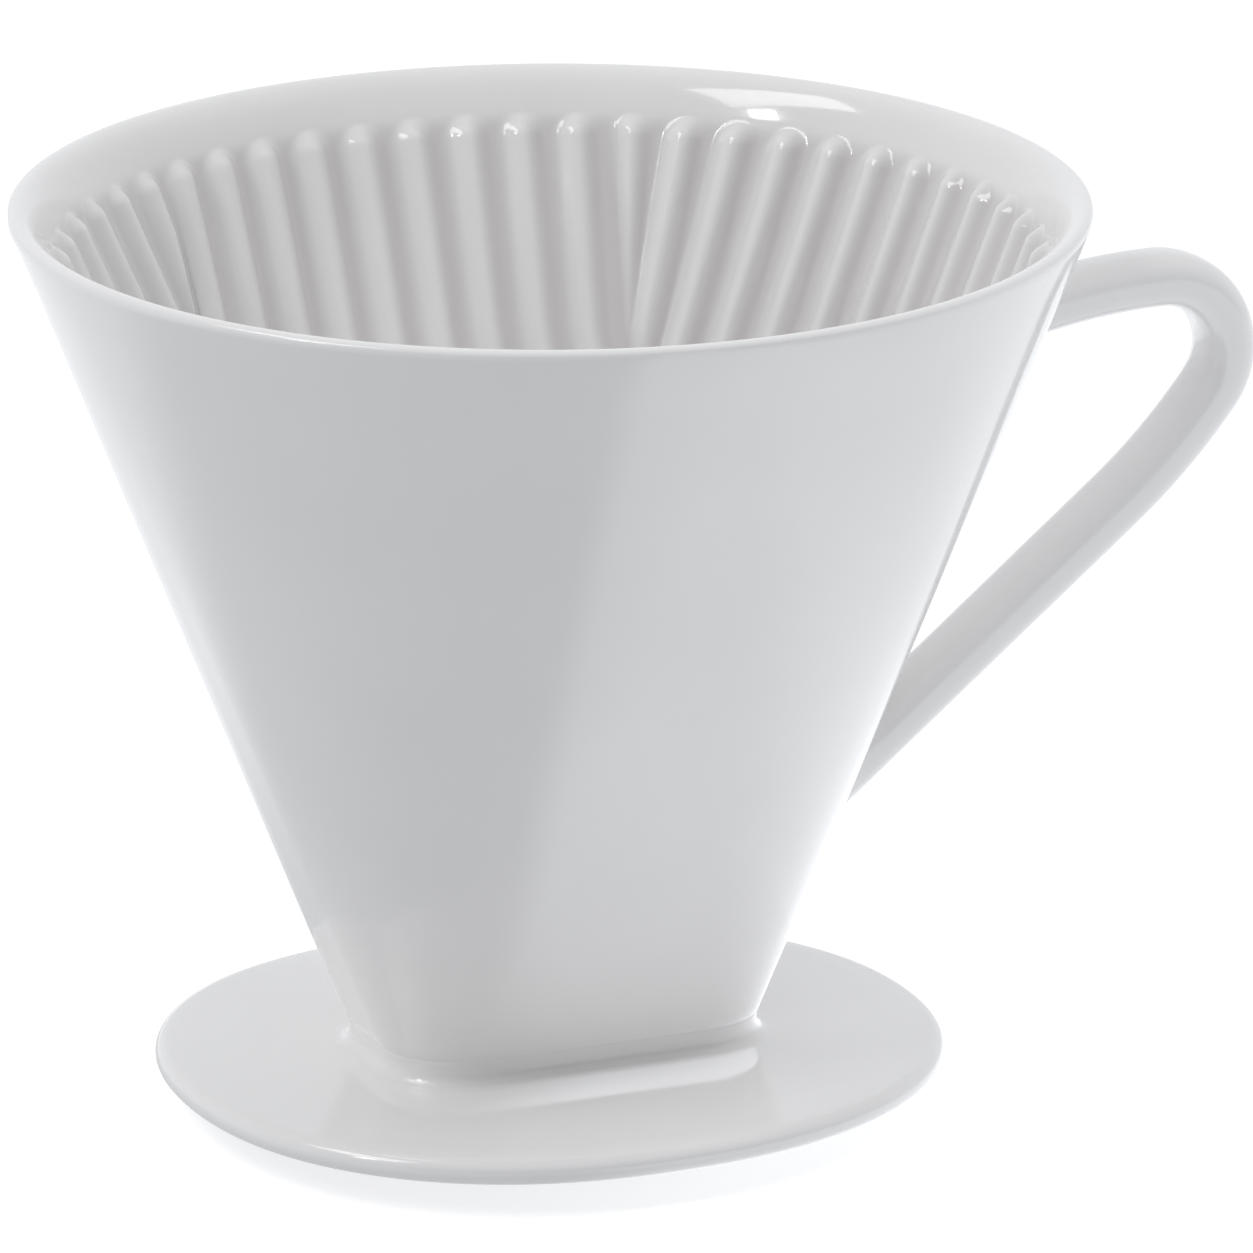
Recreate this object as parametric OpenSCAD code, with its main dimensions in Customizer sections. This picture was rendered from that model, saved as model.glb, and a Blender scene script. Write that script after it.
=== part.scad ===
// Pour over coffee filter holder in glazed porcelain, for a large cone filter paper.
// The origin is the centre of the flange's underside, the plane that rests on the cup.
// +X points to the handle, +Y across, +Z up.

/* [Cone] */
// Outer diameter of the round rim
rim_d = 144; // [130:1:156]
// Height of the rim above the cup
rim_z = 119.5; // [105:0.5:135]
// Wall thickness of the cone
wall = 4; // [3:0.5:5]
// Radius of the rounded rim edges
rim_edge = 1.5; // [0.5:0.1:1.9]
// Length of the cone's foot, where it stands on the flange
foot_len = 51; // [46:1:56]
// Width of the cone's foot
foot_w = 28; // [25:1:34]
// Corner radius of the foot
foot_corner = 9; // [7:0.5:12]
// Thickness of the cone's floor
floor_t = 4; // [3:0.5:6]
// Diameter of the drip hole
drip_d = 5; // [3:0.5:7]

/* [Flow ribs] */
// Number of ribs around the inner wall
rib_count = 54; // [46:2:62]
// Width of a rib
rib_w = 5; // [3.5:0.5:5.5]
// How far a rib stands proud of the wall
rib_proud = 1.6; // [1:0.1:2.2]
// Distance from the rim down to the top of the ribs
rib_start = 6.5; // [4:0.5:12]
// Half of the angle that a side group of parallel ribs covers at its top
side_group = 30; // [24:1:34]

/* [Flange] */
// Length of the oval flange
flange_len = 105.5; // [98:0.5:116]
// Width of the oval flange
flange_w = 98; // [90:0.5:108]
// Thickness of the flange
flange_t = 3.6; // [3:0.1:5]
// Height and reach of the raised seat around the foot
seat = 2.4; // [1.5:0.1:3.5]

/* [Centring collar] */
// Outer diameter of the ring that centres the holder on the cup
collar_d = 64; // [58:1:72]
// Height of the ring below the flange
collar_h = 4.5; // [3:0.5:6]
// Wall thickness of the ring
collar_t = 3.5; // [2.5:0.5:5]

/* [Handle] */
// Distance from the cone's axis to the middle of the strap at its outermost point
handle_reach = 98.3; // [92:0.5:106]
// Distance from the rim down to the middle of the upper arm
handle_drop = 20.1; // [16:0.1:26]
// Bend radius of the strap's middle line
handle_bend = 10.2; // [8:0.1:13]
// Slope of the lower arm below horizontal, where it meets the cone
handle_slope = 39; // [34:0.5:44]
// Thickness of the strap
strap_t = 7.5; // [5:0.1:8.5]
// Width of the strap
strap_w = 9.9; // [8.6:0.1:13]

/* [Hidden] */

rim_r = rim_d / 2;
skin = 0.01;                        // thickness of the slices that a hull joins
porcelain = [0.93, 0.93, 0.92];
round_fn = 96;                      // facets of the large round outlines
corner_fn = 32;                     // facets of a small corner circle

// The cavity, from the floor up to the rim
floor_z = flange_t + floor_t;
mouth_r = rim_r - wall;
well_len = foot_len - 2 * wall;
well_w = foot_w - 2 * wall;
well_corner = foot_corner - wall;

// Rib layout
rib_pitch = 360 / rib_count;
rib_top_z = rim_z - rib_start;
bend_z = rim_z - 0.5 * rim_r;       // below this the side ribs draw together
fan_low = 0.6;                      // spacing of the side ribs at the floor, against the top
end_fan = 0.24;                     // how much the end ribs draw together over one rim radius
outer_fan = 0.27;                   // what the outermost end ribs draw together beyond that
border_x = 0.45 * rim_r;            // where a side group meets an end group
rib_point = 0.3;                    // size of the lower tip of an end rib that runs out
rib_taper = 18;                     // length over which it gets slimmer
rib_steps = 3;                      // facets on each half of a rib's dome
course_steps = 5;                   // straight stretches in each part of a rib's course

// Strap path
arm_z = rim_z - handle_drop;
arm_arch = 88;                      // radius of the upper arm's slight arch
ease_r = 84;                        // radius of the lower arm's long curve
ease_turn = 13.7;                   // and how far it turns
bend_x = handle_reach - handle_bend;
strap_turn = 180 - handle_slope;
bend_turn = strap_turn - ease_turn;
arch_centre = [bend_x, arm_z - arm_arch];
bend_centre = [bend_x, arm_z - handle_bend];
ease_centre = bend_centre - (ease_r - handle_bend) * [sin(bend_turn), cos(bend_turn)];
low_arm = 58;                       // runs past the wall and is cut off there
arch_steps = 6;
bend_steps = 11;
ease_steps = 4;
strap_fn = 24;

// Flange outline: a squarish oval, a little blunter at the end away from the handle
oval_power = 2.15;
oval_egg = 0.045;
oval_steps = 72;
edge_r = flange_t / 2;

// The collar is let into the flange by a shallow root, a little wider than the ring
root_h = 0.5;
root_lip = 0.5;
collar_edge = 0.8;                  // bevel of the ring's lower edges

// ---- plan outlines ----

module round_rect(len, w, corner) {
    hull()
        for (x = [-1, 1], y = [-1, 1])
            translate([x * (len / 2 - corner), y * (w / 2 - corner)])
                circle(r = corner, $fn = corner_fn);
}

function signed_pow(v, p) = sign(v) * pow(abs(v), p);

function oval_point(a, half_len, half_w) = [
    half_len * signed_pow(cos(a), 2 / oval_power),
    half_w * signed_pow(sin(a), 2 / oval_power) * (1 - oval_egg * cos(a))
];

module oval(inset) {
    polygon([for (i = [0 : oval_steps - 1])
        oval_point(i * 360 / oval_steps, flange_len / 2 - inset, flange_w / 2 - inset)]);
}

// ---- shared bodies ----

// The cone's outer form: a round rim that narrows in straight lines to the oblong foot
module cone_form() {
    hull() {
        translate([0, 0, flange_t])
            linear_extrude(skin)
                round_rect(foot_len, foot_w, foot_corner);
        for (a = [0 : 30 : 90])
            translate([0, 0, rim_z - rim_edge + rim_edge * sin(a) - skin])
                cylinder(r = rim_r - rim_edge + rim_edge * cos(a), h = skin, $fn = round_fn);
    }
}

module cavity() {
    hull() {
        translate([0, 0, floor_z])
            linear_extrude(skin)
                round_rect(well_len, well_w, well_corner);
        translate([0, 0, rim_z - skin])
            cylinder(r = mouth_r, h = skin, $fn = round_fn);
    }
}

// Closed bodies, each through equal rings of points, as one set of faces. The end faces fan
// out from a ring's last point.
module loft(bodies) {
    n = len(bodies[0][0]);
    starts = running_sum([for (rings = bodies) n * len(rings)]);
    polyhedron(
        points = [for (rings = bodies, ring = rings, p = ring) p],
        faces = [for (i = [0 : len(bodies) - 1]) each loft_faces(n, len(bodies[i]), starts[i])]
    );
}

function loft_faces(n, ring_count, start) = concat(
    [
        for (i = [0 : ring_count - 2], k = [0 : n - 1])
            let (a = start + i * n, next = (k + 1) % n)
            [a + k, a + next, a + n + next, a + n + k]
    ],
    [[for (k = [0 : n - 1]) start + n - 1 - k]],
    [[for (k = [0 : n - 1]) start + n * (ring_count - 1) + (k + n - 1) % n]]
);

function running_sum(list) = [
    for (i = 0, total = 0; i < len(list); total = total + list[i], i = i + 1) total
];

// ---- sub-parts ----

module filter_cone() {
    color(porcelain)
        difference() {
            cone_form();
            cavity();
            // slope that eases the rim into the mouth
            translate([0, 0, rim_z - rim_edge])
                cylinder(r1 = mouth_r - rim_edge, r2 = mouth_r + rim_edge / 2,
                         h = rim_edge + skin, $fn = round_fn);
            translate([0, 0, flange_t - 1])
                cylinder(d = drip_d, h = floor_t + 2, $fn = 48);
        }
}

// Sections of the cavity are rounded rectangles: share 0 at the rim, 1 at the floor
function share(z) = (rim_z - z) / (rim_z - floor_z);
function section_x(z) = share(z) * (well_len / 2 - well_corner);
function section_y(z) = share(z) * (well_w / 2 - well_corner);
function section_r(z) = mouth_r + share(z) * (well_corner - mouth_r);
function arc_reach(v, r) = sqrt(r * r - v * v);
function wall_y(x, z) =
    section_y(z) + arc_reach(max(0, abs(x) - section_x(z)), section_r(z));
function wall_x(y, z) =
    section_x(z) + arc_reach(max(0, abs(y) - section_y(z)), section_r(z));
function wall_normal(p, z) =
    let (v = [max(0, abs(p[0]) - section_x(z)), max(0, abs(p[1]) - section_y(z))])
    [sign(p[0]) * v[0], sign(p[1]) * v[1]] / norm(v);
function raised(p, z, height) =
    let (n = wall_normal(p, z))
    [p[0] - n[0] * height, p[1] - n[1] * height, z];

// Rings of a rib that lies on the wall: domed points from edge to edge, then one on the wall
function side_ring(x, z, size) =
    let (step = rib_w / 2 * size * wall_normal([x, wall_y(x, z)], z)[1])
    [
        for (k = [-rib_steps : rib_steps])
            let (u = k / rib_steps, xu = x + u * step)
            raised([xu, wall_y(xu, z)], z, rib_proud * size * cos(90 * u)),
        [x, wall_y(x, z), z]
    ];
function end_ring(y, z, size) =
    let (step = rib_w / 2 * size * wall_normal([wall_x(y, z), y], z)[0])
    [
        for (k = [-rib_steps : rib_steps])
            let (u = k / rib_steps, yu = y - u * step)
            raised([wall_x(yu, z), yu], z, rib_proud * size * cos(90 * u)),
        [wall_x(y, z), y, z]
    ];

// Heights and sizes of the rings that round off a rib's top
top_stops = [
    for (a = [15 : 25 : 90])
        [rib_top_z - rib_w / 2 * (1 - cos(a)), sin(a)]
];
straight_z = rib_top_z - rib_w / 2;
function stops_down(from, to) = [for (k = [1 : course_steps]) from + (to - from) * k / course_steps];

// A side rib keeps its x down to bend_z, then closes in towards the foot and gets slimmer
function closing(z) = z > bend_z ? 1 : 1 - (1 - fan_low) * (bend_z - z) / (bend_z - floor_z);

function side_rib(x_top) = concat(
    [for (stop = top_stops) side_ring(x_top, stop[0], stop[1])],
    [
        for (z = concat(stops_down(straight_z, bend_z), stops_down(bend_z, floor_z)))
            side_ring(x_top * closing(z), z, closing(z))
    ]
);

// An end rib closes in steadily, until it reaches the floor or runs out beside a side rib
function fan(y_top) = end_fan + outer_fan * pow(abs(y_top) / (mouth_r * cos(side_group)), 5);
function narrowing(y_top, z) = 1 - fan(y_top) * (rib_top_z - z) / rim_r;
function on_wall(y, z) = abs(y) < section_y(z) + section_r(z) - 1;
function runs_free(y_top, z) =
    let (y = y_top * narrowing(y_top, z))
    z > floor_z && on_wall(y, z) && wall_x(y, z) > border_x * closing(z);
function end_stop(y_top, z) = runs_free(y_top, z - 1) ? end_stop(y_top, z - 1) : z;
function end_size(y_top, z, stop_z) =
    min(narrowing(y_top, z), stop_z > floor_z + 2 ? rib_point + (z - stop_z) / rib_taper : 1);

function end_rib(y_top) =
    let (stop_z = end_stop(y_top, rib_top_z))
    concat(
        [for (stop = top_stops) end_ring(y_top * narrowing(y_top, stop[0]), stop[0], stop[1])],
        [
            for (z = stops_down(straight_z, stop_z))
                end_ring(y_top * narrowing(y_top, z), z, end_size(y_top, z, stop_z))
        ]
    );

// The same rings on the other side of the axis. Each goes round the other way, so that the
// body stays closed, and still ends with its point on the wall.
function opposite(rings, across) = [
    for (ring = rings)
        let (n = len(ring))
        [
            for (k = [1 : n])
                let (p = ring[(2 * n - 1 - k) % n])
                [p[0] * across[0], p[1] * across[1], p[2]]
        ]
];

function rib_at(a) =
    let (
        top_r = section_r(rib_top_z),
        is_side = abs(cos(a)) < sin(side_group),
        rings = is_side ? side_rib(top_r * cos(a)) : end_rib(top_r * sin(a)),
        turned = is_side ? sin(a) < 0 : cos(a) < 0
    )
    turned ? opposite(rings, is_side ? [1, -1] : [-1, 1]) : rings;

module flow_ribs() {
    color(porcelain)
        loft([for (i = [0 : rib_count - 1]) rib_at((i + 0.5) * rib_pitch)]);
}

module base_flange() {
    color(porcelain)
        difference() {
            union() {
                hull()
                    for (a = [-90 : 45 : 90])
                        translate([0, 0, (flange_t - skin) / 2 * (1 + sin(a))])
                            linear_extrude(skin)
                                oval(edge_r - edge_r * cos(a));
                hull() {
                    translate([0, 0, flange_t - 1])
                        linear_extrude(1)
                            round_rect(foot_len + 2 * seat, foot_w + 2 * seat, foot_corner + seat);
                    translate([0, 0, flange_t + seat - skin])
                        linear_extrude(skin)
                            round_rect(foot_len, foot_w, foot_corner);
                }
            }
            cone_form();
            translate([0, 0, -1])
                linear_extrude(flange_t + 2)
                    round_rect(well_len, well_w, well_corner);
            // groove for the collar's root
            difference() {
                translate([0, 0, -1])
                    cylinder(r = collar_d / 2 + root_lip, h = 1 + root_h, $fn = round_fn);
                translate([0, 0, -2])
                    cylinder(r = collar_d / 2 - collar_t, h = 3 + root_h, $fn = round_fn);
            }
        }
}

module centring_collar() {
    outer_r = collar_d / 2;
    inner_r = outer_r - collar_t;
    color(porcelain)
        rotate_extrude($fn = round_fn)
            polygon([
                [inner_r, root_h],
                [outer_r + root_lip, root_h],
                [outer_r + root_lip, 0],
                [outer_r, 0],
                [outer_r, collar_edge - collar_h],
                [outer_r - collar_edge, -collar_h],
                [inner_r + collar_edge, -collar_h],
                [inner_r, collar_edge - collar_h]
            ]);
}

// The strap's middle line is a slightly arched arm, a round bend, a long curve and a straight
// arm. A stop is [x, z, turn]: the turn is 0 where the strap is level, on top of the bend.
function arc_stop(centre, radius, turn) =
    [centre[0] + radius * sin(turn), centre[1] + radius * cos(turn), turn];

function straight_on(stop, len) =
    [stop[0] + len * cos(stop[2]), stop[1] - len * sin(stop[2]), stop[2]];

// Corner k of the strap's section, a bar with round edges, as [outward, across]
function strap_corner(k) =
    let (a = (k + 0.5) * 360 / strap_fn)
    [strap_t / 2 * sin(a), strap_t / 2 * cos(a) + sign(cos(a)) * (strap_w - strap_t) / 2];

function strap_ring(stop) = [
    for (k = [0 : strap_fn - 1])
        let (c = strap_corner(k))
        [stop[0] + c[0] * sin(stop[2]), c[1], stop[1] + c[0] * cos(stop[2])]
];

module handle() {
    arch_turn = asin((bend_x - rim_r / 2) / arm_arch);
    stops = concat(
        [for (i = [arch_steps : -1 : 1])
            arc_stop(arch_centre, arm_arch, -arch_turn * i / arch_steps)],
        [for (i = [0 : bend_steps])
            arc_stop(bend_centre, handle_bend, bend_turn * i / bend_steps)],
        [for (i = [1 : ease_steps])
            arc_stop(ease_centre, ease_r, bend_turn + ease_turn * i / ease_steps)],
        [straight_on(arc_stop(ease_centre, ease_r, strap_turn), low_arm)]
    );
    color(porcelain)
        difference() {
            loft([[for (stop = stops) strap_ring(stop)]]);
            cone_form();
        }
}

filter_cone();
flow_ribs();
base_flange();
centring_collar();
handle();
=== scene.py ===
import math

import bmesh
import bpy
from mathutils import Matrix, Vector


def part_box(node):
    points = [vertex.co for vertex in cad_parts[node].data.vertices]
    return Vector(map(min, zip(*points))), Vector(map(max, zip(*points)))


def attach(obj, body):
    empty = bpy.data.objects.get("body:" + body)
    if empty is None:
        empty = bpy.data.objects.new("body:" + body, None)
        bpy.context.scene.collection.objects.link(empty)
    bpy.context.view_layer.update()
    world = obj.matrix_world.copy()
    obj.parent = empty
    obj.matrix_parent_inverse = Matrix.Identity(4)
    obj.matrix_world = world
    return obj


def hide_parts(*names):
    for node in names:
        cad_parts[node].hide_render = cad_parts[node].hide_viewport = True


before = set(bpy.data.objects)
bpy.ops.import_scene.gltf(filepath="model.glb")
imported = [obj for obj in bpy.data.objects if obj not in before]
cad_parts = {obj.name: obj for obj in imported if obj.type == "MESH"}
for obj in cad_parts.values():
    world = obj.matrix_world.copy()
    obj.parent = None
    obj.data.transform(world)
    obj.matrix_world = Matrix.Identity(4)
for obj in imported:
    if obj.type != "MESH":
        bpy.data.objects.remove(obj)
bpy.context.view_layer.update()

MM = 0.001
FULL_TURN = 2 * math.pi
QUARTER_TURN = math.pi / 2

# ---- driving sizes, from the frame where it holds them ----

CONE_LOW, CONE_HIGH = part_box("filter_cone")
FLANGE_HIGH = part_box("base_flange")[1]
COLLAR_LOW, COLLAR_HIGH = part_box("centring_collar")
HANDLE_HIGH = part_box("handle")[1]

RIM_R = CONE_HIGH.y
RIM_Z = CONE_HIGH.z
FOOT_Z = CONE_LOW.z                  # top of the flange, where the cone stands
FLOOR_Z = FOOT_Z + 4 * MM
WALL = 4 * MM
FOOT = (25.5 * MM, 14 * MM, 9 * MM)  # half length, half width and corner radius of the foot
WELL = tuple(size - WALL for size in FOOT)  # the same for the floor inside
WALL_COS = 0.92                      # rounded cosine and sine of the wall's lean from the axis
WALL_SIN = 0.38


# ---- small helpers ----

def mix(a, b, t):
    return a + (b - a) * t


def clamp(t):
    return min(1.0, max(0.0, t))


def smooth(t):
    t = clamp(t)
    return t * t * (3 - 2 * t)


def signed_pow(v, p):
    return math.copysign(abs(v) ** p, v)


def quarter_angles(steps):
    """Angles of a quarter turn, both ends included."""
    return [QUARTER_TURN * i / steps for i in range(steps + 1)]


def new_piece(name, bm, material, slot, *nodes):
    """A smooth-shaded piece from a bmesh, tied to the fixed body."""
    bmesh.ops.recalc_face_normals(bm, faces=bm.faces)
    mesh = bpy.data.meshes.new(name)
    bm.to_mesh(mesh)
    bm.free()
    for face in mesh.polygons:
        face.use_smooth = True
    mesh.materials.append(material)
    piece = bpy.data.objects.new(name, mesh)
    bpy.context.scene.collection.objects.link(piece)
    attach(piece, "root")
    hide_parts(*nodes)
    return piece


def add_ring(bm, points):
    return [bm.verts.new(p) for p in points]


def circle_ring(bm, radius, z, count):
    points = []
    for i in range(count):
        a = FULL_TURN / count * i
        points.append((radius * math.cos(a), radius * math.sin(a), z))
    return add_ring(bm, points)


def bridge(bm, ring_a, ring_b):
    """Quads between two rings of equal length."""
    count = len(ring_a)
    for i in range(count):
        j = (i + 1) % count
        bm.faces.new((ring_a[i], ring_a[j], ring_b[j], ring_b[i]))


def bridge_coarser(bm, fine, coarse):
    """Flat faces between a ring and one with a whole number of times fewer corners."""
    step = len(fine) // len(coarse)
    for i in range(len(coarse)):
        j = (i + 1) % len(coarse)
        edge = [fine[(i * step + k) % len(fine)] for k in range(step + 1)]
        bm.faces.new(edge + [coarse[j], coarse[i]])


# ---- sections of the cone: rounded rectangles between a circle and the foot ----

class Section:
    """Rounded rectangle with centres of its corner arcs at (cx, cy) and corner radius r."""

    def __init__(self, round_r, foot, share):
        half_len, half_w, corner = foot
        self.cx = share * (half_len - corner)
        self.cy = share * (half_w - corner)
        self.r = mix(round_r, corner, share)

    def at(self, part):
        """Point and outward normal at part of the way round, counted from +X in quarters."""
        quarter = int(part * 4) % 4
        length = self.cx + self.cy + self.r * QUARTER_TURN
        along = (part * 4 - int(part * 4)) * length
        if quarter in (1, 3):
            along = length - along
        x, y, nx, ny = self.quarter_point(along)
        sx = -1 if quarter in (1, 2) else 1
        sy = -1 if quarter in (2, 3) else 1
        return (sx * x, sy * y), (sx * nx, sy * ny)

    def quarter_point(self, along):
        """Point and normal at a length along the quarter from (cx + r, 0) to (0, cy + r)."""
        if along < self.cy:
            return self.cx + self.r, along, 1.0, 0.0
        turn = (along - self.cy) / self.r
        if turn < QUARTER_TURN:
            c, s = math.cos(turn), math.sin(turn)
            return self.cx + self.r * c, self.cy + self.r * s, c, s
        rest = along - self.cy - self.r * QUARTER_TURN
        return self.cx - rest, self.cy + self.r, 0.0, 1.0

    def y_at(self, x):
        over = max(0.0, abs(x) - self.cx)
        return self.cy + math.sqrt(max(0.0, self.r ** 2 - over ** 2))

    def x_at(self, y):
        over = max(0.0, abs(y) - self.cy)
        return self.cx + math.sqrt(max(0.0, self.r ** 2 - over ** 2))

    def normal_at(self, x, y):
        nx = max(0.0, abs(x) - self.cx)
        ny = max(0.0, abs(y) - self.cy)
        size = math.hypot(nx, ny) or 1.0
        return math.copysign(nx / size, x), math.copysign(ny / size, y)

    def outline(self, parts, out, z):
        """Points at height z that lie out from the section, at parts of the way round."""
        points = []
        for part in parts:
            (x, y), (nx, ny) = self.at(part)
            points.append((x + nx * out, y + ny * out, z))
        return points


def outer_section(z):
    return Section(RIM_R, FOOT, min(1.0, (RIM_Z - z) / (RIM_Z - FOOT_Z)))


def inner_section(z):
    return Section(RIM_R - WALL, WELL, min(1.0, (RIM_Z - z) / (RIM_Z - FLOOR_Z)))


# ---- the ribbed inner wall ----

RIB_COUNT = 54
RIB_PROUD = 1.6 * MM
RIB_HALF = 2.75 * MM                 # half of a rib's width at its foot
DOME_POWER = 0.55                    # under 1 makes the domes fuller
RUN_OUT = 0.5 * MM                   # an end rib fades out this far from the side group
RIB_TOP_Z = RIM_Z - 5.6 * MM
RIB_LOW_Z = FLOOR_Z + 1.5 * MM       # the ribs have sunk into the wall at this height
RIB_SINK = 5 * MM                    # they start to do so this far above it
RIB_TWIST = 0.0025                   # the cast ribs sit turned by this part of a full turn

SIDE_GROUP = math.radians(60)        # a side group covers the angles from here to its mirror image
SIDE_PULL = 0.91                     # the side ribs draw together by this over the first stretch
SIDE_REACH = 27 * MM                 # length of that stretch
PULL_POWER = 0.8
SIDE_LEAN = 0.75 * MM                # over the same stretch they lean one way round by this much
BEND_Z = RIM_Z - RIM_R / 2           # below this the side ribs draw together once more
FAN_LOW = 0.6                        # and by this down to the floor
END_FAN = 0.24                       # how much the end ribs draw together over a length of RIM_R
OUTER_FAN = 0.27                     # how much more the outermost of them do
FAN_POWER = 5
CROWDING = 0.4 * MM                  # end courses that have run out crowd beside the border

RIB_COLUMNS = 16                     # mesh columns for each rib and its hollow
COLUMNS = RIB_COUNT * RIB_COLUMNS
GROOVE_SHADE_SHIFT = 2                       # columns by which the painted shade lies off the hollow's middle: darkest beside one foot of each rib, as if the light came from the other side
GROOVE_SHADE_TOP_Z = RIB_TOP_Z + 1 * MM      # no painted shade above the ribs
GROOVE_SHADE_TOP_FADE = 3 * MM
GROOVE_SHADE_LOW_FADE = 8 * MM

TOP_SECTION = inner_section(RIB_TOP_Z)
TOP_BORDER_X = TOP_SECTION.at(SIDE_GROUP / FULL_TURN)[0][0]


def side_depth(z):
    """Share of the side ribs' first stretch that lies above height z."""
    return clamp((RIB_TOP_Z - z) / SIDE_REACH)


def closing(z):
    """Spacing of the side ribs at height z, against their tops."""
    pull = mix(1.0, SIDE_PULL, side_depth(z) ** PULL_POWER)
    if z > BEND_Z:
        return pull
    return pull * mix(1.0, FAN_LOW, (BEND_Z - z) / (BEND_Z - FLOOR_Z))


def side_course(x_top, y_top, z):
    """Where a side course runs at height z."""
    return x_top * closing(z) - math.copysign(SIDE_LEAN, y_top) * side_depth(z)


def narrowing(y_top, z):
    """Spacing of the end ribs at height z, against their tops."""
    outer = abs(y_top) / (TOP_SECTION.r * math.sin(SIDE_GROUP))
    return 1 - (END_FAN + OUTER_FAN * outer ** FAN_POWER) * (RIB_TOP_Z - z) / RIM_R


def is_side(part):
    return abs(math.cos(FULL_TURN * (part + RIB_TWIST))) < math.cos(SIDE_GROUP)


def wall_point(part, z):
    """Point of the inner wall on the course that starts at part of the way round the rib tops.

    Returns x, y and the distance from the border between a side group and the end ribs.
    """
    section = inner_section(z)
    if z >= RIB_TOP_Z:
        return section.at(part + RIB_TWIST)[0], RIM_R
    (x_top, y_top), _ = TOP_SECTION.at(part + RIB_TWIST)
    border_x = side_course(math.copysign(TOP_BORDER_X, x_top), y_top, z)
    if is_side(part):
        x = side_course(x_top, y_top, z)
        return (x, math.copysign(section.y_at(x), y_top)), abs(border_x - x)
    border_y = section.y_at(border_x)
    gap = border_y - abs(y_top) * narrowing(y_top, z)
    gap = (gap + math.hypot(gap, CROWDING)) / 2
    y = math.copysign(border_y - gap, y_top)
    x = math.copysign(section.x_at(y), x_top)
    return (x, y), math.hypot(x - border_x, gap)


def rib_size(middle, z):
    """Ribs get slimmer as the wall draws them together."""
    if z >= RIB_TOP_Z:
        return 1.0
    (_, y_top), _ = TOP_SECTION.at(middle + RIB_TWIST)
    return closing(z) if is_side(middle) else narrowing(y_top, z)


def rib_height(part, z):
    """How far the inner wall stands proud at this course and height."""
    middle = (math.floor(part * RIB_COUNT) + 0.5) / RIB_COUNT
    here, to_border = wall_point(part, z)
    axis, _ = wall_point(middle, z)
    size = rib_size(middle, z)
    across = math.hypot(here[0] - axis[0], here[1] - axis[1]) / size
    over = max(0.0, z - RIB_TOP_Z + RIB_HALF)
    from_edge = RIB_HALF - math.hypot(across, over)
    if not is_side(middle) and z < RIB_TOP_Z:
        from_edge = min(from_edge, to_border - RUN_OUT)
    rise = clamp(from_edge / RIB_HALF)
    dome = (0.5 - 0.5 * math.cos(math.pi * rise)) ** DOME_POWER
    return RIB_PROUD * dome * smooth((z - RIB_LOW_Z) / RIB_SINK) * size


def rib_heights(z):
    """Heights of all columns, evened out over their neighbours so that no foot is a sharp corner."""
    sharp = [rib_height(column / COLUMNS, z) for column in range(COLUMNS)]
    heights = []
    for i in range(COLUMNS):
        beside = (sharp[i - 1] + sharp[(i + 1) % COLUMNS]) / 2
        heights.append(mix(sharp[i], beside, 0.5))
    return heights


def inner_ring(bm, z, heights, spare):
    """A ring of the inner wall. The lip leaves it short of the wall's straight line by spare."""
    points = []
    section = inner_section(z)
    for column, proud in enumerate(heights):
        (x, y), _ = wall_point(column / COLUMNS, z)
        nx, ny = section.normal_at(x, y)
        inward = proud * WALL_COS - spare
        points.append((x - nx * inward, y - ny * inward, z + proud * WALL_SIN))
    return add_ring(bm, points)


def mark_groove_shade(ring, layer, heights, z):
    """Marks painted shade in the hollows, darkest just beside a rib's foot on one side, as if lit
    from the other.
    """
    share = smooth((GROOVE_SHADE_TOP_Z - z) / GROOVE_SHADE_TOP_FADE) * smooth((z - FLOOR_Z) / GROOVE_SHADE_LOW_FADE)
    for i, vert in enumerate(ring):
        vert[layer] = share * (1 - min(1.0, heights[i - GROOVE_SHADE_SHIFT] / RIB_PROUD))


# ---- the filter cone ----

LIP_R = 1.5 * MM                     # radius of the rim's outer edge
LIP_ANGLES = 6
LIP_SOFT = 2.1 * MM                  # length over which the lip turns into the inner wall
LIP_LENGTH = 7 * MM
LIP_STEP = 0.3 * MM
OUTER_ROWS = 22
RIB_TOP_STEP = 0.35 * MM             # the mesh rows lie close together round the rib tops
RIB_TOP_STRETCH = 4.5 * MM
WALL_ROWS = 50
CORNER_R = 3 * MM                    # hollow corner between the inner wall and the floor
CORNER_ANGLES = 5
FLOOR_COARSER = 8                    # the floor has this many times fewer corners than the wall
FLOOR_SHARES = (0.25, 0.6, 0.85)     # its rings, at shares of the way to the drip hole
FLOOR_DISH = 0.1 * MM                # the floor falls by this much from one ring to the next
DRIP_R = 2.5 * MM
DRIP_LIP = 0.7 * MM                  # soft edge of the drip hole
DRIP_LIP_ANGLES = 4
DRIP_DROP = 0.25 * MM                # that edge starts this much below the floor's border
DRIP_FLARE = 0.4 * MM                # the hole widens at the underside
DRIP_FLARE_RISE = 0.5 * MM


def inner_lip():
    """The lip's inner half from the crown down, as (inset, drop): it turns ever more slowly."""
    lean = math.asin(WALL_SIN)
    inset, drop, run = LIP_R, 0.0, 0.0
    points = []
    while run < LIP_LENGTH:
        points.append((inset, drop))
        face_up = lean + (QUARTER_TURN - lean) * math.exp(-(run + LIP_STEP / 2) / LIP_SOFT)
        inset += LIP_STEP * math.sin(face_up)
        drop += LIP_STEP * math.cos(face_up)
        run += LIP_STEP
    return points


def lip_spare(inset, drop):
    """Distance of a lip point from the inner wall's straight line, towards the outside."""
    return WALL + drop * WALL_SIN / WALL_COS - inset


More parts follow.
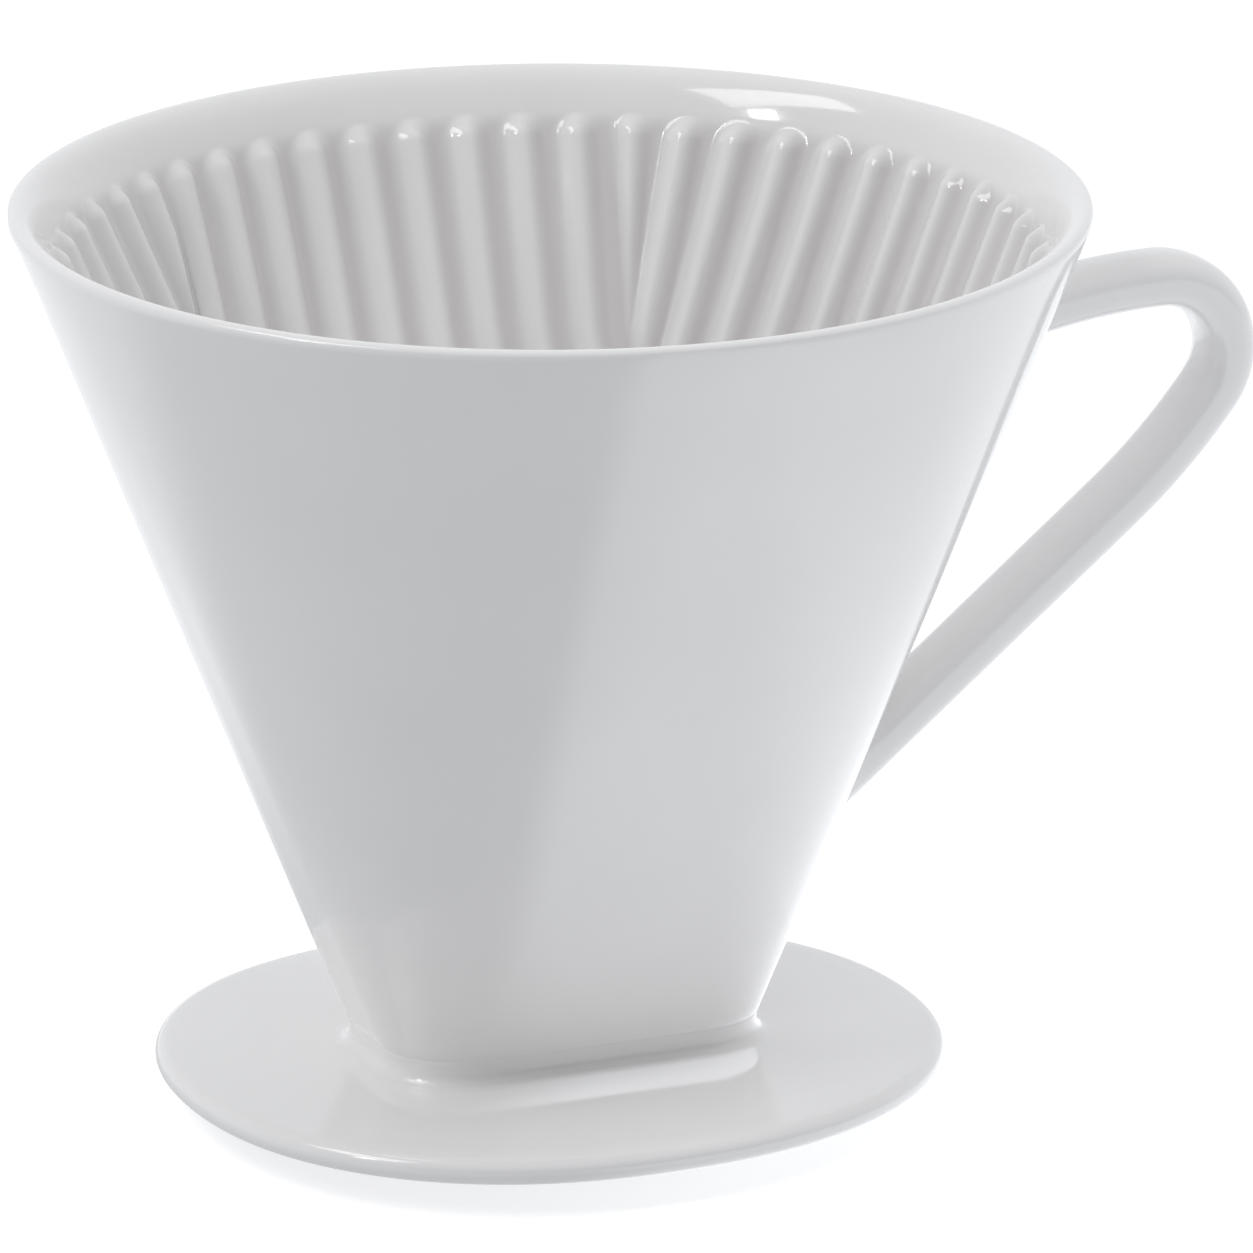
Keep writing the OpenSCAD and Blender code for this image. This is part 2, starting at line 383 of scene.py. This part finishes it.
def wall_heights(start):
    """Heights of the mesh rows below the lip: close together at the rib tops, wider below."""
    heights = []
    z = start - LIP_STEP
    while z > RIB_TOP_Z - RIB_TOP_STRETCH:
        heights.append(z)
        z -= RIB_TOP_STEP
    for i in range(WALL_ROWS + 1):
        heights.append(mix(z, FLOOR_Z + CORNER_R, i / WALL_ROWS))
    return heights


def outside_rings(bm):
    """Up the outer wall and round the lip's outer half to its crown."""
    parts = [i / COLUMNS + RIB_TWIST for i in range(COLUMNS)]
    rings = []
    for i in range(OUTER_ROWS):
        z = mix(FOOT_Z, RIM_Z - LIP_R, i / OUTER_ROWS)
        rings.append(add_ring(bm, outer_section(z).outline(parts, 0, z)))
    for a in quarter_angles(LIP_ANGLES):
        inset = LIP_R * (1 - math.cos(a))
        z = RIM_Z - LIP_R * (1 - math.sin(a))
        rings.append(add_ring(bm, outer_section(z).outline(parts, -inset, z)))
    return rings


def inside_rings(bm, groove_shade):
    """From the lip's crown down the ribbed inner wall."""
    rings = []
    lip = inner_lip()
    spare_end = lip_spare(*lip[-1])
    for inset, drop in lip[1:]:
        z = RIM_Z - drop
        rings.append(inner_ring(bm, z, rib_heights(z), lip_spare(inset, drop) - spare_end))
    for z in wall_heights(RIM_Z - lip[-1][1]):
        heights = rib_heights(z)
        ring = inner_ring(bm, z, heights, 0.0)
        mark_groove_shade(ring, groove_shade, heights, z)
        rings.append(ring)
    return rings


def floor_rings(bm):
    """From the inner wall round the hollow corner and across the floor."""
    rings = []
    low = FLOOR_Z + CORNER_R
    section = inner_section(low)
    for a in quarter_angles(CORNER_ANGLES)[1:]:
        inset = CORNER_R * (1 - math.cos(a))
        ring = []
        for column in range(COLUMNS):
            (x, y), _ = wall_point(column / COLUMNS, low)
            nx, ny = section.normal_at(x, y)
            ring.append((x - nx * inset, y - ny * inset, low - CORNER_R * math.sin(a)))
        rings.append(add_ring(bm, ring))
    border = [v.co.copy() for v in rings[-1]][::FLOOR_COARSER]
    for step, share in enumerate(FLOOR_SHARES):
        ring = []
        for i, corner in enumerate(border):
            a = FULL_TURN * i / len(border)
            hole = Vector((DRIP_R * math.cos(a), DRIP_R * math.sin(a), 0))
            p = corner.lerp(hole, share)
            ring.append((p.x, p.y, FLOOR_Z - step * FLOOR_DISH))
        rings.append(add_ring(bm, ring))
    return rings


def drip_rings(bm):
    """Over the soft edge of the drip hole and down to the underside."""
    count = COLUMNS // FLOOR_COARSER
    rings = []
    for a in quarter_angles(DRIP_LIP_ANGLES):
        r = DRIP_R + DRIP_LIP * (1 - math.sin(a))
        z = FLOOR_Z - DRIP_DROP - DRIP_LIP * (1 - math.cos(a))
        rings.append(circle_ring(bm, r, z, count))
    rings.append(circle_ring(bm, DRIP_R, FOOT_Z + DRIP_FLARE_RISE, count))
    rings.append(circle_ring(bm, DRIP_R + DRIP_FLARE, FOOT_Z, count))
    return rings


def make_cone(material):
    bm = bmesh.new()
    # a layer of painted shade for the hollows between the ribs, read by the glaze's base colour
    groove_shade = bm.verts.layers.float.new("painted_groove_shade")
    rings = outside_rings(bm) + inside_rings(bm, groove_shade) + floor_rings(bm) + drip_rings(bm)
    for a, b in zip(rings, rings[1:]):
        if len(a) == len(b):
            bridge(bm, a, b)
        else:
            bridge_coarser(bm, a, b)
    # flat underside of the foot, from its outline to the drip hole
    bridge_coarser(bm, rings[0], rings[-1])
    new_piece("filter_cone", bm, material, "cone_glaze", "filter_cone", "flow_ribs")


# ---- the flange, which rises in a hollow curve onto the cone's foot ----

FLANGE_T = FOOT_Z                    # its underside lies at z = 0
FLANGE_HALF_W = 49 * MM
OVAL_POWER = 2.15                    # 2 is an ellipse, more is squarer
OVAL_EGG = 0.045                     # how much blunter one end is than the other
FLANGE_COLUMNS = 360
FLANGE_PARTS = [i / FLANGE_COLUMNS for i in range(FLANGE_COLUMNS)]
UNDERSIDE_SHARES = (0.33, 0.66)      # rings at shares of the way from the opening to the edge
TOP_SHARES = (0.12, 0.3, 0.5, 0.7, 0.88)  # and from the edge to the seat
OVAL_STEPS = 8                       # fine points for each column, to spread the columns evenly
EDGE_ANGLES = 12                     # steps of the round outer edge
SLOT_FLARE = 0.8 * MM                # the opening under the cone widens at the underside
SLOT_TOP_Z = FLANGE_T - 0.5 * MM
SEAT_R = 3.2 * MM                    # hollow curve from the flange onto the cone
SEAT_STRETCH = 1.15                  # that curve is this much taller than wide
SEAT_ANGLES = 9
SEAT_TUCK = 0.4 * MM                 # its upper border is tucked this deep into the cone's wall
SEAT_TOP_Z = FLANGE_T + 1.3 * SEAT_R


def oval_point(a, inset):
    half_len = FLANGE_HIGH.x - inset
    half_w = FLANGE_HALF_W - inset
    x = half_len * signed_pow(math.cos(a), 2 / OVAL_POWER)
    y = half_w * signed_pow(math.sin(a), 2 / OVAL_POWER) * (1 - OVAL_EGG * math.cos(a))
    return Vector((x, y, 0))


def even_oval(inset):
    """Points spread evenly round the oval by length."""
    count = FLANGE_COLUMNS * OVAL_STEPS
    fine = [oval_point(FULL_TURN * i / count, inset) for i in range(count + 1)]
    run = [0.0]
    for a, b in zip(fine, fine[1:]):
        run.append(run[-1] + (b - a).length)
    points = []
    k = 0
    for i in range(FLANGE_COLUMNS):
        want = run[-1] * i / FLANGE_COLUMNS
        while run[k + 1] < want:
            k += 1
        t = (want - run[k]) / (run[k + 1] - run[k])
        points.append(fine[k].lerp(fine[k + 1], t))
    return points


def rings_between(bm, ring_a, ring_b, shares):
    """Rings at shares of the way from one outline to another."""
    rings = []
    for share in shares:
        points = [mix(Vector(a), Vector(b), share) for a, b in zip(ring_a, ring_b)]
        rings.append(add_ring(bm, points))
    return rings


def foot_outline(out, z):
    return outer_section(z).outline(FLANGE_PARTS, out, z)


def make_flange(material):
    bm = bmesh.new()
    slot = Section(0, WELL, 1.0)
    rings = [add_ring(bm, slot.outline(FLANGE_PARTS, 0, z)) for z in (SLOT_TOP_Z, SLOT_FLARE)]
    slot_border = slot.outline(FLANGE_PARTS, SLOT_FLARE, 0)
    rings.append(add_ring(bm, slot_border))

    edge_r = FLANGE_T / 2
    rim = even_oval(edge_r)
    rings += rings_between(bm, slot_border, rim, UNDERSIDE_SHARES)
    for i in range(EDGE_ANGLES + 1):
        a = math.pi * (i / EDGE_ANGLES - 0.5)
        edge = even_oval(edge_r * (1 - math.cos(a)))
        rings.append(add_ring(bm, [(p.x, p.y, edge_r * (1 + math.sin(a))) for p in edge]))

    top = [(p.x, p.y, FLANGE_T) for p in rim]
    rings += rings_between(bm, top, foot_outline(SEAT_R, FLANGE_T), TOP_SHARES)
    for a in quarter_angles(SEAT_ANGLES):
        out = SEAT_R * (1 - math.sin(a))
        up = SEAT_R * SEAT_STRETCH * (1 - math.cos(a))
        rings.append(add_ring(bm, foot_outline(out, FLANGE_T + up)))
    rings.append(add_ring(bm, foot_outline(-SEAT_TUCK, SEAT_TOP_Z)))
    rings.append(add_ring(bm, foot_outline(-2 * SEAT_TUCK, FLANGE_T - SEAT_TUCK)))

    for a, b in zip(rings, rings[1:] + rings[:1]):
        bridge(bm, a, b)
    new_piece("base_flange", bm, material, "flange_glaze", "base_flange")


# ---- the centring collar under the flange ----

ROOT_LIP = 0.5 * MM                  # the designed root, inside the flange, is this much wider
COLLAR_W = 3.5 * MM
COLLAR_EDGE = 1.1 * MM
COLLAR_ANGLES = 5
COLLAR_COLUMNS = 240
BARE_RISE = 0.25 * MM                # the foot ring is wiped clean of glaze up to here


def make_collar(glaze, bare):
    outer_r = COLLAR_HIGH.x - ROOT_LIP
    inner_r = outer_r - COLLAR_W
    low = COLLAR_LOW.z
    root = COLLAR_HIGH.z
    profile = [(inner_r, root)]
    for a in quarter_angles(COLLAR_ANGLES):
        r = inner_r + COLLAR_EDGE * (1 - math.cos(a))
        profile.append((r, low + COLLAR_EDGE * (1 - math.sin(a))))
    for a in quarter_angles(COLLAR_ANGLES):
        r = outer_r - COLLAR_EDGE * (1 - math.sin(a))
        profile.append((r, low + COLLAR_EDGE * (1 - math.cos(a))))
    profile.append((outer_r, root))
    bm = bmesh.new()
    rings = [circle_ring(bm, r, z, COLLAR_COLUMNS) for r, z in profile]
    for a, b in zip(rings, rings[1:] + rings[:1]):
        bridge(bm, a, b)
    piece = new_piece("centring_collar", bm, glaze, "flange_glaze", "centring_collar")
    piece.data.materials.append(bare)
    for face in piece.data.polygons:
        if face.center.z < low + BARE_RISE:
            face.material_index = 1


# ---- the handle ----

STRAP_T = 7.5 * MM
STRAP_W = 9.9 * MM
STRAP_CORNER = 0.8                   # power of the rounded section: 1 is an oval, less is squarer
REACH = HANDLE_HIGH.x - STRAP_T / 2
ARM_Z = RIM_Z - 20.1 * MM
ARM_ARCH = 88 * MM                   # radius of the upper arm's slight arch
BEND_R = 10.2 * MM
BEND_LENGTH = 22.7 * MM
EASE_R = 84 * MM                     # the lower arm leaves the bend in a long easy curve
EASE_LENGTH = 20 * MM
LONGEST_ARM = 60 * MM                # the upper and the lower arm are shorter than these
LONGEST_LOW_ARM = 90 * MM
INTO_WALL = 1.6 * MM                 # how deep the arms end in the wall
HALVINGS = 30                        # steps of the search for that depth
FLARE = 5 * MM                       # length over which an arm swells onto the wall
SWELL = 1.1 * MM
STRAP_COLUMNS = 56
ARM_ROWS = 26
BEND_ROWS = 40
LOW_ARM_ROWS = 60


def middle_line(run):
    """Point x, z and turn of the handle's middle line at a length run past the start of the bend."""
    x, z, turn = REACH - BEND_R, ARM_Z, 0.0
    arcs = [(ARM_ARCH, run)] if run < 0 else [(BEND_R, BEND_LENGTH), (EASE_R, EASE_LENGTH)]
    for radius, length in arcs:
        part = min(run, length)
        end = turn + part / radius
        x += radius * (math.sin(end) - math.sin(turn))
        z += radius * (math.cos(end) - math.cos(turn))
        turn = end
        run -= part
    return x + run * math.cos(turn), z - run * math.sin(turn), turn


def strap_place(run, across, out):
    """Point beside the handle's middle line."""
    x, z, turn = middle_line(run)
    return Vector((x + out * math.sin(turn), across, z + out * math.cos(turn)))


def wall_gap(point):
    """Distance from the cone's outer wall."""
    return (point.x - outer_section(point.z).x_at(point.y)) * WALL_COS


def run_to_wall(clear, buried, across, out):
    """Where a strand of the strap ends in the wall, between a clear and a buried run."""
    for _ in range(HALVINGS):
        middle = (clear + buried) / 2
        if wall_gap(strap_place(middle, across, out)) > -INTO_WALL:
            clear = middle
        else:
            buried = middle
    return clear


def strand(across, out):
    """One lengthwise line of the strap, from the wall round the bend and back to the wall."""
    first = run_to_wall(0.0, -LONGEST_ARM, across, out)
    last = run_to_wall(BEND_LENGTH, BEND_LENGTH + LONGEST_LOW_ARM, across, out)
    runs = [mix(first, 0.0, i / ARM_ROWS) for i in range(ARM_ROWS)]
    runs += [mix(0.0, BEND_LENGTH, i / BEND_ROWS) for i in range(BEND_ROWS)]
    runs += [mix(BEND_LENGTH, last, i / LOW_ARM_ROWS) for i in range(LOW_ARM_ROWS + 1)]
    points = []
    for run in runs:
        near = clamp(1 - wall_gap(strap_place(run, across, out)) / FLARE)
        swell = 1 + SWELL / (STRAP_T / 2) * near ** 2
        points.append(strap_place(run, across * swell, out * swell))
    return points


def make_handle(material):
    bm = bmesh.new()
    strands = []
    for k in range(STRAP_COLUMNS):
        a = FULL_TURN * k / STRAP_COLUMNS
        across = STRAP_W / 2 * signed_pow(math.cos(a), STRAP_CORNER)
        out = STRAP_T / 2 * signed_pow(math.sin(a), STRAP_CORNER)
        strands.append(strand(across, out))
    rings = [add_ring(bm, ring) for ring in zip(*strands)]
    for a, b in zip(rings, rings[1:]):
        bridge(bm, a, b)
    bm.faces.new(rings[0])
    bm.faces.new(rings[-1])
    new_piece("handle", bm, material, "handle_glaze", "handle")


# ---- node trees ----

class Nodes:
    """Builds a node tree a step at a time."""

    def __init__(self, name):
        self.material = bpy.data.materials.new(name)
        self.material.use_nodes = True
        self.tree = self.material.node_tree
        self.shader = self.tree.nodes["Principled BSDF"]
        self.place = self.add("ShaderNodeTexCoord").outputs["Object"]

    def add(self, kind, **settings):
        node = self.tree.nodes.new(kind)
        for key, value in settings.items():
            setattr(node, key, value)
        return node

    def link(self, source, target):
        self.tree.links.new(source, target)

    def feed(self, source, target):
        """Gives an input another node's output, or a plain number."""
        if isinstance(source, float):
            target.default_value = source
        else:
            self.link(source, target)

    def axes(self):
        """X, Y and Z of the place, as outputs of their own."""
        node = self.add("ShaderNodeSeparateXYZ")
        self.link(self.place, node.inputs["Vector"])
        return node.outputs

    def noise(self, scale, detail):
        node = self.add("ShaderNodeTexNoise")
        node.inputs["Scale"].default_value = scale
        node.inputs["Detail"].default_value = detail
        self.link(self.place, node.inputs["Vector"])
        return node.outputs["Fac"]

    def ramp(self, source, *stops):
        node = self.add("ShaderNodeValToRGB")
        ramp = node.color_ramp
        while len(ramp.elements) < len(stops):
            ramp.elements.new(0.5)
        for element, (position, colour) in zip(ramp.elements, stops):
            element.position = position
            element.color = (*colour, 1)
        self.link(source, node.inputs["Fac"])
        return node.outputs["Color"]

    def multiply(self, one, other):
        node = self.add("ShaderNodeVectorMath", operation="MULTIPLY")
        self.link(one, node.inputs[0])
        self.link(other, node.inputs[1])
        return node.outputs["Vector"]

    def remap(self, source, span, values):
        """Runs softly between two values over a span of the source."""
        node = self.add("ShaderNodeMapRange")
        node.interpolation_type = "SMOOTHSTEP"
        node.inputs["From Min"].default_value = span[0]
        node.inputs["From Max"].default_value = span[1]
        node.inputs["To Min"].default_value = values[0]
        node.inputs["To Max"].default_value = values[1]
        self.link(source, node.inputs["Value"])
        return node.outputs["Result"]

    def blend(self, factor, low, high):
        node = self.add("ShaderNodeMix", data_type="FLOAT")
        self.link(factor, node.inputs["Factor"])
        self.feed(low, node.inputs["A"])
        self.feed(high, node.inputs["B"])
        return node.outputs["Result"]

    def larger(self, one, other):
        node = self.add("ShaderNodeMath", operation="MAXIMUM")
        self.link(one, node.inputs[0])
        self.link(other, node.inputs[1])
        return node.outputs["Value"]

    def bump(self, height, strength, distance, below=None):
        node = self.add("ShaderNodeBump")
        node.inputs["Strength"].default_value = strength
        node.inputs["Distance"].default_value = distance
        self.link(height, node.inputs["Height"])
        if below is not None:
            self.link(below, node.inputs["Normal"])
        return node.outputs["Normal"]


class WorldNodes(Nodes):
    """The same steps for the world's node tree."""

    def __init__(self):
        world = bpy.data.worlds.new("studio")
        bpy.context.scene.world = world
        world.use_nodes = True
        self.tree = world.node_tree
        self.shader = self.tree.nodes["Background"]
        self.place = self.add("ShaderNodeTexCoord").outputs["Generated"]


def grey(value):
    return (value, value, value)


# ---- the light that the floor and the studio send out ----

FLOOR_GLOW = 0.45                    # lifts the floor to white for the camera
BOUNCE_COLOUR = (0.95, 0.972, 1.0, 1)
BOUNCE_SPAN = (-0.10, 0.16)          # the floor's light on the object rises over this span of X
BOUNCE = (0.56, 1.08)
SHINE_EDGE = (-0.02, 0.002)          # in reflections it rises over a short span, a soft edge
SHINE = (0.7, 1.5)
SHINE_FADE = (0.07, 0.16)            # beyond this span of X reflections show the plain bounce
SHINE_BEHIND = (0.05, 0.14)          # span of Y over which the floor behind gets brighter
SHINE_BACK = 1.1
FLANGE_GLOW_IN_REFLECTIONS = (0.1, 0.8)                    # the flange's painted glow, seen only in reflections: a share of that shine, left and right

STUDIO_COLOUR = (0.965, 0.98, 1.0, 1)
DEPTH_SPAN = (-0.95, 0.2)            # from behind the camera to the back of the studio
FRONT_LIGHT = 0.2
BACK_LIGHT = 0.9
HEIGHT_SPAN = (0.05, 0.75)           # from low down to overhead
TOP_LIGHT = 0.68
SEEN_WHITE = 1.05


# ---- the object's materials ----

WHITE = (0.868, 0.858, 0.855)
UNEVEN = 0.975                       # the white varies softly down to this share
GROOVE_SHADE_TINT = (0.80, 0.785, 0.78)      # painted shade: what is left of the white in the darkest hollows
BARE_LOW = (0.66, 0.64, 0.60)
BARE_HIGH = (0.76, 0.74, 0.70)


def porcelain_glaze(name):
    """White body under clear glaze, with painted shade in the hollows between the ribs."""
    n = Nodes(name)
    inputs = n.shader.inputs
    low = tuple(c * UNEVEN for c in WHITE)
    plain = n.ramp(n.noise(scale=35, detail=3), (0.35, low), (0.65, WHITE))
    # painted shade: the marked hollows are darkened in the base colour
    groove_shade = n.add("ShaderNodeAttribute", attribute_name="painted_groove_shade").outputs["Fac"]
    depth = n.ramp(groove_shade, (0.0, grey(1)), (0.25, grey(0.98)), (1.0, GROOVE_SHADE_TINT))
    n.link(n.multiply(plain, depth), inputs["Base Color"])
    sheen = n.ramp(n.noise(scale=90, detail=2), (0.3, grey(0.10)), (0.7, grey(0.16)))
    n.link(sheen, inputs["Roughness"])
    waves = n.bump(n.noise(scale=70, detail=1), strength=0.10, distance=0.6 * MM)
    fine = n.noise(scale=900, detail=2)
    skin = n.bump(fine, strength=0.05, distance=0.05 * MM, below=waves)
    n.link(skin, inputs["Normal"])
    inputs["Coat Weight"].default_value = 0.6
    inputs["Coat Roughness"].default_value = 0.04
    inputs["IOR"].default_value = 1.5
    return n


def flange_glaze():
    """The same glaze, with a painted glow seen only in reflections: in the cone's glaze the flange
    looks brighter, as the floor around it does.
    """
    n = porcelain_glaze("flange_glaze")
    reflection_glow = n.remap(n.axes()["X"], SHINE_EDGE, FLANGE_GLOW_IN_REFLECTIONS)
    rays = n.add("ShaderNodeLightPath")
    # painted glow: emission that only glossy rays see, rising towards +X
    n.link(n.multiply(reflection_glow, rays.outputs["Is Glossy Ray"]), n.shader.inputs["Emission Strength"])
    n.shader.inputs["Emission Color"].default_value = BOUNCE_COLOUR
    return n


def bare_porcelain():
    n = Nodes("bare_foot")
    inputs = n.shader.inputs
    grain = n.noise(scale=1500, detail=3)
    n.link(n.ramp(grain, (0.3, BARE_LOW), (0.7, BARE_HIGH)), inputs["Base Color"])
    inputs["Roughness"].default_value = 0.75
    n.link(n.bump(grain, strength=0.4, distance=0.08 * MM), inputs["Normal"])
    return n


# ---- floor and studio ----

FLOOR_RADII = (0.2, 0.6, 1.1, 1.6)
FLOOR_COLUMNS = 96
LIGHT_AIM = Vector((0, 0, 60 * MM))  # about the middle of the object


def plain_stage():
    """A pale matt floor. What it sends to the object is set apart from its look to the camera.

    It sends softly more light from the right, and in reflections it shows a clear edge.
    """
    n = Nodes("studio_sweep")
    inputs = n.shader.inputs
    matt = n.ramp(n.noise(scale=3, detail=2), (0.3, grey(0.80)), (0.7, grey(0.82)))
    n.link(matt, inputs["Base Color"])
    inputs["Roughness"].default_value = 0.9
    inputs["Specular IOR Level"].default_value = 0.0
    inputs["Emission Color"].default_value = (*grey(1), 1)
    inputs["Emission Strength"].default_value = FLOOR_GLOW

    axes = n.axes()
    across = n.remap(axes["X"], BOUNCE_SPAN, BOUNCE)
    near = n.remap(axes["X"], SHINE_FADE, (1.0, 0.0))
    beside = n.blend(near, across, n.remap(axes["X"], SHINE_EDGE, SHINE))
    behind = n.remap(axes["Y"], SHINE_BEHIND, (SHINE[0], SHINE_BACK))
    shine = n.larger(beside, behind)
    rays = n.add("ShaderNodeLightPath")
    bounce = n.add("ShaderNodeEmission")
    bounce.inputs["Color"].default_value = BOUNCE_COLOUR
    n.link(n.blend(rays.outputs["Is Glossy Ray"], across, shine), bounce.inputs["Strength"])

    chooser = n.add("ShaderNodeMixShader")
    n.link(rays.outputs["Is Camera Ray"], chooser.inputs["Fac"])
    n.link(bounce.outputs["Emission"], chooser.inputs[1])
    n.link(n.shader.outputs["BSDF"], chooser.inputs[2])
    n.link(chooser.outputs["Shader"], n.tree.nodes["Material Output"].inputs["Surface"])
    return n


def make_floor(material):
    """A wide round floor."""
    bm = bmesh.new()
    floor_z = COLLAR_LOW.z
    rings = [circle_ring(bm, r, floor_z, FLOOR_COLUMNS) for r in FLOOR_RADII]
    centre = bm.verts.new((0, 0, floor_z))
    for i in range(FLOOR_COLUMNS):
        bm.faces.new((centre, rings[0][i], rings[0][(i + 1) % FLOOR_COLUMNS]))
    for a, b in zip(rings, rings[1:]):
        bridge(bm, a, b)
    mesh = bpy.data.meshes.new("floor_sweep")
    bm.to_mesh(mesh)
    bm.free()
    mesh.materials.append(material)
    floor = bpy.data.objects.new("floor_sweep", mesh)
    bpy.context.scene.collection.objects.link(floor)


def make_world():
    """White studio: bright low down at the back and sides, dim overhead and behind the camera.

    The camera itself sees it as white as the floor, so that a low view shows no horizon.
    """
    n = WorldNodes()
    axes = n.axes()
    depth = n.remap(axes["Y"], DEPTH_SPAN, (FRONT_LIGHT, BACK_LIGHT))
    height = n.remap(axes["Z"], HEIGHT_SPAN, (1.0, 0.0))
    rays = n.add("ShaderNodeLightPath")
    light = n.blend(height, TOP_LIGHT, depth)
    strength = n.blend(rays.outputs["Is Camera Ray"], light, SEEN_WHITE)
    n.link(strength, n.shader.inputs["Strength"])
    n.shader.inputs["Color"].default_value = STUDIO_COLOUR


def softbox(name, place, width, height, watts):
    """An area light aimed at the middle of the object."""
    data = bpy.data.lights.new(name, "AREA")
    data.shape = "RECTANGLE"
    data.size = width
    data.size_y = height
    data.energy = watts
    light = bpy.data.objects.new(name, data)
    light.location = place
    aim = LIGHT_AIM - Vector(place)
    light.rotation_mode = "QUATERNION"
    light.rotation_quaternion = aim.to_track_quat("-Z", "Y")
    bpy.context.scene.collection.objects.link(light)
    return light


def make_lights():
    """A window on the left with a small bright lamp beside it, and a fill from the right."""
    softbox("window_box", (-0.85, 0.0, 1.05), 0.7, 0.38, watts=3.0)
    fill = softbox("fill_box", (0.75, -0.2, 1.1), 0.5, 0.5, watts=2.4)
    fill.visible_glossy = False      # it leaves no second highlight on the glaze
    softbox("spark_box", (-1.0, -0.2, 0.78), 0.14, 0.14, watts=0.7)


# ---- camera ----

CAMERA_PLACE = Vector((-0.6823, -1.6394, 0.6124))
CAMERA_YAW = 0.40                    # radians, to the right of +Y
CAMERA_TILT = 0.3011                 # radians, downwards
CAMERA_ROLL = 0.0016
CAMERA_LENS = 402.24                 # focal length in mm, for a picture 36 mm wide
PICTURE_W = 36
FAR_ENOUGH = 50


def make_camera():
    data = bpy.data.cameras.new("photo_camera")
    data.lens = CAMERA_LENS
    data.sensor_width = PICTURE_W
    data.clip_end = FAR_ENOUGH
    camera = bpy.data.objects.new("photo_camera", data)
    bpy.context.scene.collection.objects.link(camera)
    level_right = Vector((math.cos(CAMERA_YAW), -math.sin(CAMERA_YAW), 0))
    level_ahead = Vector((math.sin(CAMERA_YAW), math.cos(CAMERA_YAW), 0))
    straight_down = Vector((0, 0, -1))
    c, s = math.cos(CAMERA_TILT), math.sin(CAMERA_TILT)
    ahead = level_ahead * c + straight_down * s
    level_down = straight_down * c - level_ahead * s
    c, s = math.cos(CAMERA_ROLL), math.sin(CAMERA_ROLL)
    right = level_right * c + level_down * s
    down = level_down * c - level_right * s
    camera.rotation_mode = "QUATERNION"
    camera.rotation_quaternion = Matrix((right, -down, -ahead)).transposed().to_quaternion()
    camera.location = CAMERA_PLACE
    bpy.context.scene.camera = camera


glaze = porcelain_glaze("porcelain_glaze").material
make_cone(glaze)
make_flange(flange_glaze().material)
make_collar(glaze, bare_porcelain().material)
make_handle(glaze)
make_floor(plain_stage().material)
make_world()
make_lights()
make_camera()
bpy.context.scene.view_settings.view_transform = "Standard"
